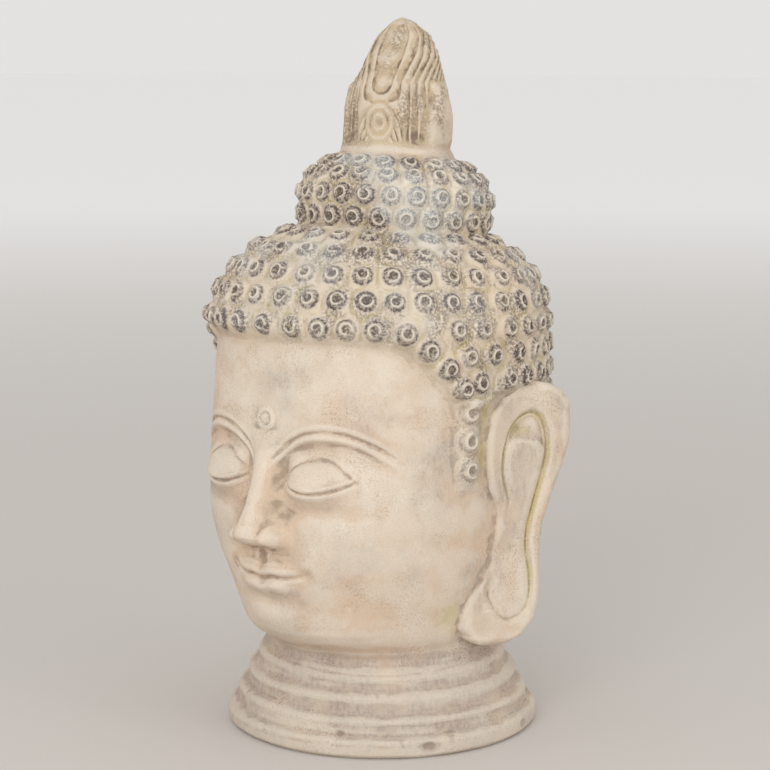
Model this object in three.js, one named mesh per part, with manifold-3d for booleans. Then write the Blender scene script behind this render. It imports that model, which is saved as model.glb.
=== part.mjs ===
// Buddha head in cast stone, made as one piece: neck with three folds on a flared foot, face, long ears,
// rows of snail curls over skull and crown bump, and a carved flame on top.
// Millimetres, +Z up. The origin is the centre of the underside, the face looks along -Y and the
// head's own left ear is on +X.

import * as THREE from 'three';
import { ConvexHull } from 'three/addons/math/ConvexHull.js';
import { mergeVertices } from 'three/addons/utils/BufferGeometryUtils.js';
import Module from 'manifold-3d';

// ---------------------------------------------------------------- driving dimensions

const FOOT_RADIUS = 120;
const NECK_RADIUS = 91;
const FACE_HALF_WIDTH = 112;
const FACE_DEPTH = 133;
const SKULL_BACK = 127;
const CROWN_RADIUS = 63;
const FLAME_RADIUS = 41;
const FLAME_BASE = 439;
const PETAL_TIP = 495;
const HEIGHT = 540;

// The face is laid out in thirds, from hairline to brow, brow to nose and nose to chin.
const CHIN = 85;
const HAIRLINE = 305;
const THIRD = (HAIRLINE - CHIN) / 3;
const BROW = HAIRLINE - THIRD;
const NOSE_BASE = CHIN + THIRD;
const EYE = BROW - 21;
const MOUTH = NOSE_BASE - THIRD / 3;
const NOSE_TIP = NOSE_BASE + 11;
const EYE_WIDTH = 2 * FACE_HALF_WIDTH / 5;

const HAIR_BED = 9;
const CURL_HEIGHT = 6;
const CURL_SPACING = 23;
const CROWN_CURL_SPACING = 19;
const CURL_SIDES = 5;
const CURL_TOP_SHARE = 0.3;
const CURL_MIN_SHARE = 0.66;
const CROWN_ROWS = [389, 405, 419, 429];
const FIRST_ROW = 315;
const TOP_ROW = 374;
const SKULL_ROWS = 4;

const EAR_TOP = 272;
const EAR_BOTTOM = 73;
const EAR_ROOT = new THREE.Vector2(105, 2);
const EAR_FLARE = THREE.MathUtils.degToRad(25);

const STONE = { color: 0xd9cdb8, roughness: 0.9, metalness: 0 };

// Sections of the bare form from the underside up: height, half width, depth before and behind the axis,
// how far the axis has moved back, squareness of the front (2 is an ellipse), and backward lean in degrees.
const SECTIONS = [
  [0, FOOT_RADIUS - 4, FOOT_RADIUS - 4, FOOT_RADIUS - 4, 0, 2, 0],
  [5, FOOT_RADIUS, FOOT_RADIUS, FOOT_RADIUS, 0, 2, 0],
  [13, FOOT_RADIUS - 1, FOOT_RADIUS - 1, FOOT_RADIUS - 1, 0, 2, 0],
  [17, FOOT_RADIUS - 7, FOOT_RADIUS - 7, FOOT_RADIUS - 7, 0, 2, 0],
  [27, FOOT_RADIUS - 9, FOOT_RADIUS - 9, FOOT_RADIUS - 9, 0, 2, 0],
  [32, FOOT_RADIUS - 16, FOOT_RADIUS - 16, FOOT_RADIUS - 16, 0, 2, 0],
  [42, FOOT_RADIUS - 17, FOOT_RADIUS - 17, FOOT_RADIUS - 17, 0, 2, 0],
  [47, FOOT_RADIUS - 23, FOOT_RADIUS - 23, FOOT_RADIUS - 23, 0, 2, 0],
  [57, NECK_RADIUS + 4, NECK_RADIUS + 4, NECK_RADIUS + 4, 0, 2, 0],
  [64, NECK_RADIUS - 1, NECK_RADIUS - 1, NECK_RADIUS - 1, 0, 2, 0],
  [74, NECK_RADIUS + 1, 97, NECK_RADIUS + 1, 0, 1.95, 0],
  [CHIN, 96, 114, 95, 0, 1.92, 0],
  [97, 99, 122, 99, 0, 1.95, 0],
  [114, 103, 126, 103, 0, 2.05, 0],
  [135, 107, 129, 108, 0, 2.2, 0],
  [160, 110, 132, 113, 0, 2.35, 0],
  [190, FACE_HALF_WIDTH, FACE_DEPTH, 119, 0, 2.5, 0],
  [220, FACE_HALF_WIDTH, FACE_DEPTH, 123, 0, 2.5, 0],
  [250, FACE_HALF_WIDTH, FACE_DEPTH - 2, 126, 0, 2.45, 0],
  [280, 112, 128, SKULL_BACK, 0, 2.4, 1],
  [310, 112, 125, SKULL_BACK, 0, 2.3, 2],
  [330, 109, 120, 123, 2, 2.2, 3],
  [347, 101, 113, 113, 5, 2.15, 3],
  [361, 89, 101, 98, 8, 2.1, 4],
  [372, 74, 84, 79, 11, 2, 4],
  [379, CROWN_RADIUS - 1, CROWN_RADIUS + 4, CROWN_RADIUS, 13, 2, 5],
  [386, CROWN_RADIUS - 2, CROWN_RADIUS - 2, CROWN_RADIUS - 1, 14, 2, 5],
  [398, CROWN_RADIUS, CROWN_RADIUS, CROWN_RADIUS, 15, 2, 5],
  [409, CROWN_RADIUS - 1, CROWN_RADIUS - 1, CROWN_RADIUS - 1, 16, 2, 5],
  [420, CROWN_RADIUS - 8, CROWN_RADIUS - 8, CROWN_RADIUS - 8, 17, 2, 5],
  [429, CROWN_RADIUS - 17, CROWN_RADIUS - 17, CROWN_RADIUS - 17, 18, 2, 5],
  [434, FLAME_RADIUS + 2, FLAME_RADIUS + 2, FLAME_RADIUS + 2, 18, 2, 5],
  [FLAME_BASE, FLAME_RADIUS + 2, FLAME_RADIUS + 2, FLAME_RADIUS + 2, 18, 2, 5],
  [442, FLAME_RADIUS - 1, FLAME_RADIUS - 1, FLAME_RADIUS - 1, 18, 2, 5],
  [462, FLAME_RADIUS, FLAME_RADIUS, FLAME_RADIUS, 19, 2, 3],
  [482, FLAME_RADIUS - 2, FLAME_RADIUS - 2, FLAME_RADIUS - 2, 20, 2, 2],
  [502, FLAME_RADIUS - 9, FLAME_RADIUS - 10, FLAME_RADIUS - 5, 22, 2, 0],
  [519, FLAME_RADIUS - 17, FLAME_RADIUS - 20, FLAME_RADIUS - 12, 23, 2, 0],
  [532, FLAME_RADIUS - 28, FLAME_RADIUS - 30, FLAME_RADIUS - 24, 24, 2, 0],
  [HEIGHT - 1, 3, 3, 3, 24, 2, 0],
  [HEIGHT, 0.5, 0.5, 0.5, 24, 2, 0],
];

// Lower edge of the hair: height at each angle from the front, in degrees. It runs level over the brow,
// drops at the temple, passes over the ear and falls to the nape behind it.
const HAIR_EDGE = [
  [0, HAIRLINE], [46, HAIRLINE - 2], [60, 290], [72, 268], [80, 264], [106, 262], [112, 126], [180, 118],
];

// The chain of curls that edges the hair, from mid brow to the end of the lock before the ear.
const EDGE_CHAIN = [[51.4, 313], [62, 299], [70, 279], [75, 256], [75, 199]];

// ---------------------------------------------------------------- small helpers

const { clamp, degToRad, lerp, smoothstep } = THREE.MathUtils;

// A smooth curve through the values that never swings past a knot.
function curveThrough(knots, values) {
  const slope = i => (values[i + 1] - values[i]) / (knots[i + 1] - knots[i]);
  const tangent = values.map((_, i) => {
    if (i === 0) return slope(0);
    if (i === values.length - 1) return slope(i - 1);
    const before = slope(i - 1);
    const after = slope(i);
    return before * after <= 0 ? 0 : 2 * before * after / (before + after);
  });
  return x => {
    const at = clamp(x, knots[0], knots[knots.length - 1]);
    const i = clamp(knots.findLastIndex(k => k <= at), 0, knots.length - 2);
    const span = knots[i + 1] - knots[i];
    const u = (at - knots[i]) / span;
    const low = values[i] + u * span * tangent[i];
    const high = values[i + 1] - (1 - u) * span * tangent[i + 1];
    return lerp(low, high, u * u * (3 - 2 * u));
  };
}

const curveOf = pairs => curveThrough(pairs.map(p => p[0]), pairs.map(p => p[1]));

// A soft round swelling of height 1 at its middle.
const swelling = (x, z, midX, midZ, radiusX, radiusZ) =>
  Math.exp(-(((x - midX) / radiusX) ** 2) - ((z - midZ) / radiusZ) ** 2);

// ---------------------------------------------------------------- the bare form

// Places up the form are given as its side outline's length from the underside, in millimetres.
const outlineLength = [0];
for (let i = 1; i < SECTIONS.length; i++) {
  const rise = SECTIONS[i][0] - SECTIONS[i - 1][0];
  const step = SECTIONS[i][1] - SECTIONS[i - 1][1];
  outlineLength.push(outlineLength[i - 1] + Math.hypot(rise, step));
}
const TOTAL = outlineLength[outlineLength.length - 1];
const columns = SECTIONS[0].map((_, k) => curveThrough(outlineLength, SECTIONS.map(s => s[k])));
const [heightAt, halfWidthAt, frontAt, backAt, shiftAt, squareAt, leanAt] = columns;

// The place on the outline where the form has a height, found by halving.
function upTo(z) {
  let low = 0;
  let high = TOTAL;
  for (let i = 0; i < 40; i++) {
    const mid = (low + high) / 2;
    if (heightAt(mid) < z) low = mid;
    else high = mid;
  }
  return low;
}

const hairEdge = curveOf(HAIR_EDGE);
const foldAngle = angle => Math.abs(((angle + 180) % 360 + 360) % 360 - 180);

// How far the face stands out before its plain oval, at a distance from the middle and a height.
function faceRelief(x, z) {
  const side = Math.abs(x);
  const down = clamp((BROW - z) / (BROW - NOSE_TIP), 0, 1);
  const noseHeight = z > NOSE_TIP ? 24 * down ** 1.25 : 24 * smoothstep(z, NOSE_BASE - 3, NOSE_TIP - 1);
  const noseWidth = lerp(7, 13, down);
  const nose = noseHeight * (1 - smoothstep(side, 0.3 * noseWidth, 1.7 * noseWidth));
  const wings = 7 * swelling(side, z, 14, NOSE_TIP - 2, 7, 8);
  const socket = -8 * swelling(side, z, EYE_WIDTH * 0.86, BROW - 14, 25, 11);
  const eyeball = 6 * swelling(side, z, EYE_WIDTH, EYE + 1, 20, 10);
  const cheek = 3 * swelling(side, z, 52, 172, 34, 30);
  const mouth = 4 * swelling(side, z, 0, MOUTH, 34, 22);
  const upperLip = 4 * swelling(side, z, 0, MOUTH + 6, 21, 5);
  const lowerLip = 5 * swelling(side, z, 0, MOUTH - 8, 18, 6);
  const chin = 5 * swelling(side, z, 0, CHIN + 14, 20, 13);
  return nose + wings + socket + eyeball + cheek + mouth + upperLip + lowerLip + chin;
}

// How far the flame's petals stand out. A tall one in front and its like behind widen towards the tip, and a
// short one stands on either side.
function petalRelief(angle, z) {
  if (z < FLAME_BASE + 1) return 0;
  const rise = clamp((z - FLAME_BASE) / (HEIGHT - FLAME_BASE), 0, 1);
  const offSide = Math.abs(foldAngle(angle) - 90);
  const halfWidth = 22 + 60 * rise ** 3;
  const tall = 3 * smoothstep(90 - offSide, halfWidth, halfWidth + 16);
  const short = 6 * (1 - smoothstep(offSide, 12, 30)) * (1 - smoothstep(z, PETAL_TIP - 14, PETAL_TIP));
  return (short - tall) * (1 - rise ** 4);
}

// The smooth skin at an angle from the front, in degrees, and a length up the outline.
function bareSkin(angle, up) {
  const turn = degToRad(angle);
  const z = heightAt(up);
  const front = Math.cos(turn) > 0;
  const power = 2 / (front ? squareAt(up) : 2);
  const swell = (hair(angle, z) ? HAIR_BED : 0) + petalRelief(angle, z);
  const across = Math.sign(Math.sin(turn)) * Math.abs(Math.sin(turn)) ** power;
  const along = Math.abs(Math.cos(turn)) ** power;
  const x = (halfWidthAt(up) + swell) * across;
  const depth = front ? -(frontAt(up) + swell) * along : (backAt(up) + swell) * along;
  const faceShare = front && !hair(angle, z) ? smoothstep(along, 0, 0.75) : 0;
  const y = shiftAt(up) + depth - faceShare * faceRelief(x, z);
  return new THREE.Vector3(x, y, z - depth * Math.tan(degToRad(leanAt(up))));
}

function hair(angle, z) {
  return z > hairEdge(foldAngle(angle)) && z < FLAME_BASE - 6;
}

// A point raised from the skin, square to it.
function raisedSkin(angle, up, lift) {
  const middle = bareSkin(angle, up);
  if (lift === 0) return middle;
  const sideways = bareSkin(angle + 1, up).sub(bareSkin(angle - 1, up));
  const upwards = bareSkin(angle, up + 1.5).sub(bareSkin(angle, up - 1.5));
  return middle.addScaledVector(sideways.cross(upwards).normalize(), lift);
}

// ---------------------------------------------------------------- points on the skin

// Each point has its place on the skin and its image on a globe. Equal steps on the skin make nearly equal
// steps on the globe, so the globe's convex hull gives well shaped triangles for the skin.
const GLOBE_STEPS = 800;
const meanRadius = up => Math.max((2 * halfWidthAt(up) + frontAt(up) + backAt(up)) / 4, 0.5);
const stretch = [0];
for (let i = 1; i <= GLOBE_STEPS; i++) {
  stretch.push(stretch[i - 1] + TOTAL / GLOBE_STEPS / meanRadius((i - 0.5) * TOTAL / GLOBE_STEPS));
}
const middleStretch = stretch[Math.round(GLOBE_STEPS * 0.45)];

function onGlobe(angle, up) {
  const place = clamp(up / TOTAL, 0, 1) * GLOBE_STEPS;
  const i = Math.min(Math.floor(place), GLOBE_STEPS - 1);
  const latitude = 2 * Math.atan(Math.tanh((lerp(stretch[i], stretch[i + 1], place - i) - middleStretch) / 2));
  const turn = degToRad(angle);
  return new THREE.Vector3(
    Math.cos(latitude) * Math.sin(turn),
    -Math.cos(latitude) * Math.cos(turn),
    Math.sin(latitude),
  );
}

const skin = [];
function addPoint(angle, up, lift = 0) {
  skin.push({ place: raisedSkin(angle, up, lift), image: onGlobe(angle, up) });
}

function addBothSides(angle, up) {
  addPoint(angle, up);
  if (angle > 0) addPoint(-angle, up);
}

function addRing(up, count) {
  for (let k = 0; k < count; k++) addPoint(k * 360 / count, up);
}

// ---------------------------------------------------------------- curls

const curls = [];

function addCurl(angle, up, spacing) {
  const place = bareSkin(angle, up);
  if (curls.some(c => c.place.distanceTo(place) < CURL_MIN_SHARE * Math.min(spacing, c.spacing))) return;
  curls.push({ angle, up, spacing, place, index: curls.length });
}

const toDegrees = (distance, up) => distance / meanRadius(up) * 180 / Math.PI;

// Curls along a line of [angle, height] points, and their mirror images on the other side.
function layEdgeChain() {
  const steps = 60;
  let last = null;
  for (let i = 1; i < EDGE_CHAIN.length; i++) {
    for (let k = 0; k < steps; k++) {
      const angle = lerp(EDGE_CHAIN[i - 1][0], EDGE_CHAIN[i][0], k / steps);
      const up = upTo(lerp(EDGE_CHAIN[i - 1][1], EDGE_CHAIN[i][1], k / steps));
      const place = bareSkin(angle, up);
      if (last && last.distanceTo(place) < 0.93 * CURL_SPACING) continue;
      last = place;
      addCurl(angle, up, CURL_SPACING);
      addCurl(-angle, up, CURL_SPACING);
    }
  }
}

function layRow(up, spacing, index) {
  const count = Math.round(2 * Math.PI * (meanRadius(up) + HAIR_BED) / spacing);
  for (let k = 0; k < count; k++) {
    const angle = (k + (index % 2) / 2) * 360 / count;
    const edge = hairEdge(foldAngle(angle));
    if (bareSkin(angle, up).z > edge + 0.3 * spacing) addCurl(angle, up, spacing);
  }
}

function layCurls() {
  layEdgeChain();
  CROWN_ROWS.forEach((z, i) => layRow(upTo(z), CROWN_CURL_SPACING, i));
  const browRow = upTo(FIRST_ROW);
  const rowStep = (upTo(TOP_ROW) - browRow) / SKULL_ROWS;
  for (let i = 0; i <= SKULL_ROWS; i++) layRow(browRow + i * rowStep, CURL_SPACING, i);
  for (let i = 1; heightAt(browRow - i * rowStep) > 120; i++) layRow(browRow - i * rowStep, CURL_SPACING, i);
}

// The flat top of each curl, and a low point between it and every neighbour.
function addCurlPoints() {
  for (const { angle, up, spacing } of curls) {
    const radius = CURL_TOP_SHARE * spacing;
    for (let k = 0; k < CURL_SIDES; k++) {
      const turn = 2 * Math.PI * k / CURL_SIDES;
      const sideways = toDegrees(radius * Math.sin(turn), up);
      addPoint(angle + sideways, up + radius * Math.cos(turn), CURL_HEIGHT);
    }
  }
  for (const [a, b] of neighbours(curls)) {
    if (a.place.distanceTo(b.place) > 2 * CURL_SPACING) continue;
    const swing = ((b.angle - a.angle + 540) % 360 + 360) % 360 - 180;
    addPoint(a.angle + swing / 2, (a.up + b.up) / 2);
  }
}

// Each pair of curls that share an edge in the hull of their images on the globe.
function neighbours(list) {
  const owner = new Map(list.map(curl => [onGlobe(curl.angle, curl.up), curl]));
  const pairs = [];
  for (const [a, b] of hullEdges([...owner.keys()])) {
    if (owner.get(a).index < owner.get(b).index) pairs.push([owner.get(a), owner.get(b)]);
  }
  return pairs;
}

// The directed edges of the convex hull of some points, three for each triangle in turn.
function hullEdges(points) {
  const edges = [];
  for (const face of new ConvexHull().setFromPoints(points).faces) {
    let edge = face.edge;
    do {
      edges.push([edge.tail().point, edge.head().point]);
      edge = edge.next;
    } while (edge !== face.edge);
  }
  return edges;
}

// ---------------------------------------------------------------- face, neck and flame

// Columns of points over one half of the face, close together where its features are.
const FACE_COLUMNS = [0, 3, 6, 10, 14, 18, 22, 27, 32, 37, 43, 50, 59, 67, 75, 83, 91, 100];

function layFace() {
  const rows = 23;
  const lowest = CHIN - 9;
  for (let i = 0; i < rows; i++) {
    const z = lerp(lowest, HAIRLINE - 2, i / (rows - 1));
    for (const angle of FACE_COLUMNS) {
      const inLock = Math.abs(angle - 75) < 7 && z > 190;
      if (hairEdge(angle) - z > 3 && !inLock) addBothSides(angle, upTo(z));
    }
  }
  for (let angle = 0; angle <= 72; angle += 6) addBothSides(angle, upTo(hairEdge(angle) - 2));
}

function layNape() {
  for (const z of [CHIN, 100, 114]) {
    for (let angle = 110; angle <= 250; angle += 14) addPoint(angle, upTo(z));
  }
}

function layNeck() {
  const neckSections = SECTIONS.findIndex(s => s[0] === CHIN) - 1;
  for (let i = 0; i < neckSections; i++) addRing(outlineLength[i], 30);
  skin.push({ place: new THREE.Vector3(0, 0, 0), image: new THREE.Vector3(0, 0, -1) });
}

function layFlame() {
  const first = SECTIONS.findIndex(s => s[0] === FLAME_BASE) - 1;
  const last = SECTIONS.length - 1;
  for (let i = first; i < last; i++) addRing(outlineLength[i], i < last - 3 ? 24 : 12);
  skin.push({ place: bareSkin(0, TOTAL), image: new THREE.Vector3(0, 0, 1) });
}

function skinGeometry() {
  layCurls();
  addCurlPoints();
  layFace();
  layNape();
  layNeck();
  layFlame();
  const indexOf = new Map(skin.map((point, i) => [point.image, i]));
  const triangles = hullEdges(skin.map(point => point.image)).map(edge => indexOf.get(edge[1]));
  const geometry = new THREE.BufferGeometry().setFromPoints(skin.map(point => point.place));
  geometry.setIndex(triangles);
  return geometry;
}

// ---------------------------------------------------------------- ears

// Front and back edges of the ear, measured back from its root, at each height.
const earFront = curveOf([
  [EAR_BOTTOM, -8], [77, -20], [84, -28], [95, -33], [110, -31], [127, -17], [150, -9], [173, -7], [198, -18],
  [222, -20], [243, -17], [258, -5], [267, 12], [EAR_TOP, 28],
]);
const earBack = curveOf([
  [EAR_BOTTOM, 4], [77, 17], [84, 28], [95, 35], [110, 38], [130, 39.5], [150, 43], [170, 48.5], [190, 56],
  [213, 65], [236, 69], [250, 69], [260, 64], [267, 54], [EAR_TOP, 34],
]);

// Grooves inside the front and back rims, as shares of the ear's width from its front edge.
const frontGroove = curveOf([[EAR_BOTTOM, 0.32], [130, 0.3], [165, 0.24], [200, 0.2], [EAR_TOP, 0.26]]);
const backGroove = curveOf([[EAR_BOTTOM, 0.76], [130, 0.7], [165, 0.62], [200, 0.64], [EAR_TOP, 0.62]]);

// A place on the ear: back along its plate, out from it, and up. The plate flares away from the head, and
// the front of its upper half lies along the head's side.
function onEar(back, out, z) {
  const upper = smoothstep(z, 110, 170);
  const flare = Math.max(back * Math.sin(EAR_FLARE), lerp(-20, 8, upper));
  return new THREE.Vector3(
    EAR_ROOT.x + 6 * (1 - upper) + flare + out * Math.cos(EAR_FLARE),
    EAR_ROOT.y + back * Math.cos(EAR_FLARE) - out * Math.sin(EAR_FLARE),
    z,
  );
}

function earRing(z) {
  const front = earFront(z);
  const back = earBack(z);
  const at = share => lerp(front, back, share);
  const open = smoothstep(z, EAR_BOTTOM + 12, EAR_BOTTOM + 26) * (1 - smoothstep(z, EAR_TOP - 34, EAR_TOP - 22));
  const inFront = frontGroove(z);
  const behind = backGroove(z);
  return [
    onEar(at(0.1), -34, z),
    onEar(front, -6, z),
    onEar(at(0.1), 4, z),
    onEar(at(inFront - 0.06), 4, z),
    onEar(at(inFront), 4 - 7 * open, z),
    onEar(at((inFront + behind) / 2), 4 - 3 * open, z),
    onEar(at(behind), 4 - 8 * open, z),
    onEar(at(behind + 0.08), 4, z),
    onEar(at(0.93), 3, z),
    onEar(back, -4, z),
    onEar(at(0.95), -15, z),
    onEar(at(0.65), -52, z),
  ];
}

// A closed solid through rings of points, each ring joined to the next and both ends filled.
function loft(rings) {
  const count = rings[0].length;
  const centre = ring => ring.reduce((sum, p) => sum.add(p), new THREE.Vector3()).divideScalar(count);
  const points = [...rings.flat(), centre(rings[0]), centre(rings[rings.length - 1])];
  const triangles = [];
  for (let i = 0; i < count; i++) {
    const next = (i + 1) % count;
    for (let row = 0; row < (rings.length - 1) * count; row += count) {
      triangles.push(row + i, row + next, row + count + next, row + i, row + count + next, row + count + i);
    }
    triangles.push(points.length - 2, next, i);
    const top = (rings.length - 1) * count;
    triangles.push(points.length - 1, top + i, top + next);
  }
  const geometry = new THREE.BufferGeometry().setFromPoints(points);
  geometry.setIndex(triangles);
  return geometry;
}

function earGeometry() {
  const heights = [EAR_BOTTOM, 77, 85, 97, 112, 128, 145, 163, 182, 202, 222, 238, 250, 260, 267, EAR_TOP];
  return loft(heights.map(earRing));
}

// ---------------------------------------------------------------- joining

const wasm = await Module();
wasm.setup();

function toSolid(geometry) {
  const merged = mergeVertices(geometry, 1e-5);
  return new wasm.Manifold(new wasm.Mesh({
    numProp: 3,
    vertProperties: new Float32Array(merged.attributes.position.array),
    triVerts: new Uint32Array(merged.index.array),
  }));
}

function toGeometry(solid) {
  const { vertProperties, triVerts } = solid.getMesh();
  const geometry = new THREE.BufferGeometry();
  geometry.setAttribute('position', new THREE.BufferAttribute(vertProperties, 3));
  geometry.setIndex(new THREE.BufferAttribute(triVerts, 1));
  return geometry;
}

function mirrored(geometry) {
  const flipped = geometry.clone().scale(-1, 1, 1);
  const index = flipped.index.array;
  for (let i = 0; i < index.length; i += 3) [index[i], index[i + 1]] = [index[i + 1], index[i]];
  return flipped;
}

const ear = earGeometry();
const head = toSolid(skinGeometry()).add(toSolid(ear)).add(toSolid(mirrored(ear)));

const buddhaHead = new THREE.Mesh(toGeometry(head), new THREE.MeshStandardMaterial(STONE));
buddhaHead.name = 'buddha_head';

const group = new THREE.Group();
group.add(buddhaHead);

export default group;
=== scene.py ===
"""Buddha head in cast stone, laid out as an add-on.

One operator each shapes the head with its curls, shapes the ears, casts them as one body, paints the stone
and sets up the studio. Lengths in the tables are in millimetres.
"""

import math

import bpy
import numpy as np
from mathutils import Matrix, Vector
from mathutils.kdtree import KDTree


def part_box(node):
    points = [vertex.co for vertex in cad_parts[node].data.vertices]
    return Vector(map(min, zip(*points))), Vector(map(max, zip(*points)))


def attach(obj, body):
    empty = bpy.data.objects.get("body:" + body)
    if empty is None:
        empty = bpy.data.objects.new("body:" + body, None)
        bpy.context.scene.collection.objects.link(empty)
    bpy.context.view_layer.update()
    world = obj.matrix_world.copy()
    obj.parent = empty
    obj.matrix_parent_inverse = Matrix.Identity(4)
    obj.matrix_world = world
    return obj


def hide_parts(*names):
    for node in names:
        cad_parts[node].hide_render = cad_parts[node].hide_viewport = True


bl_info = {
    "name": "Stone Buddha Head",
    "version": (1, 0, 0),
    "blender": (4, 5, 0),
    "location": "View3D > Sidebar > Stone Head",
    "description": "Makes a cast stone Buddha head with snail curls, long ears and a carved flame",
    "category": "Add Mesh",
}

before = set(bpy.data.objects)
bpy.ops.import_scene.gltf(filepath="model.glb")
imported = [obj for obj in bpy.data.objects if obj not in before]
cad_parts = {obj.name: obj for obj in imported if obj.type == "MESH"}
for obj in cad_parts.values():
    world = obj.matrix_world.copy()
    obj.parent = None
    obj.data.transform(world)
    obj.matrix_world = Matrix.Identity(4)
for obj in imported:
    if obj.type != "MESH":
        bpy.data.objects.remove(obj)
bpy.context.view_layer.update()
NODE = "buddha_head"
MM = 0.001

# ---------------------------------------------------------------- sizes

HEIGHT = round(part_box(NODE)[1].z / MM)
FOOT_RADIUS = 120
NECK_RADIUS = 91
FACE_HALF_WIDTH = 112
FACE_DEPTH = 133
SKULL_BACK = 127
CROWN_RADIUS = 63
FLAME_RADIUS = 41
FLAME_BASE = 439
PETAL_TIP = 495

CHIN = 85
HAIRLINE = 305
THIRD = (HAIRLINE - CHIN) / 3
BROW = HAIRLINE - THIRD
NOSE_BASE = CHIN + THIRD
EYE = BROW - 24
MOUTH = NOSE_BASE - THIRD / 3
EYE_SPAN = 2 * FACE_HALF_WIDTH / 5

HAIR_BED = 9
CURL_HEIGHT = 4.4
CURL_SPACING = 22.4
CROWN_CURL_SPACING = 19
CURL_RADIUS = 8.8
CURL_MIN_SHARE = 0.66
CROWN_ROWS = (389, 405, 419, 429)
FIRST_ROW = 315
TOP_ROW = 374
SKULL_ROWS = 4
LOWEST_CURL = 120
LOCK_TURN = 79
LOCK_SHARE = 0.34
LOCK_CURL_SCALE = 1.2
LOCK_CURL_TONE = -0.7
CURL_SEED = 4
CURL_MAP = "curls"

EAR_TOP = 272
EAR_BOTTOM = 73
EAR_ROOT = (105, 2)
EAR_FLARE = math.radians(25)
EAR_HOLE = (0.42, 236)

# Chips out of the foot: angle, height and size.
CHIPS = (
    (47, 13, 2.6), (57, 9, 4.5), (66, 14, 3), (24, 17, 2.2), (-8, 12, 2), (-52, 10, 3.6), (104, 8, 2.6),
    (139, 14, 3.2), (171, 9, 2.4), (208, 12, 4), (262, 29, 2.6), (38, 43, 1.8), (-30, 28, 2.2), (120, 58, 2),
)

# The flame's front leaf, a little to the left of the face, the short petals beside it with their heights on
# the left and right, the tongues nested round the leaf and the rosette of rings under it.
FLAME_TURN = 19
SHORT_PETAL_TURN = 74
SHORT_PETAL_HEIGHTS = (8, 4)
LEAF_BOTTOM = 491
LEAF_WIDTH = 8.5
TONGUE_WIDTH = 7.5
ROSETTE_HEIGHT = 460

# Where ochre gathers behind the lock before the ear (angle) and under the jaw (angle and height).
BEHIND_LOCK = 85
UNDER_JAW = (72, 98)

UNDERSIDE_SHARE = 0.04
HEAD_HALVINGS = 3
EAR_FACETS = (66, 76)
EAR_HALVINGS = 2
FINE_ROUNDS = 4
BROAD_ROUNDS = 40

CAMERA_TURN = math.radians(40)
CAMERA_DISTANCE = 1.69
CAMERA_HEIGHT = 0.519
CAMERA_OFFSET = 0.0023
AIM_HEIGHT = 0.2606
CAMERA_LENS = 103.9
CAMERA_SENSOR = 36
LAMP_AIM = (0, 0, 0.25)
# The far floor's colour, painted paler than the near floor so that it fades into the bright world at the
# horizon.
FAR_FLOOR = (0.99, 0.985, 0.98)

# Soft round lamps: name, place, size and power.
LAMPS = (
    ("key light", (1.0, -2.25, 1.15), 1.8, 27),
    ("fill light", (2.4, 0, 1.1), 1.5, 9),
)

FOOT = FOOT_RADIUS
NECK = NECK_RADIUS
CROWN = CROWN_RADIUS
FLAME = FLAME_RADIUS

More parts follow.
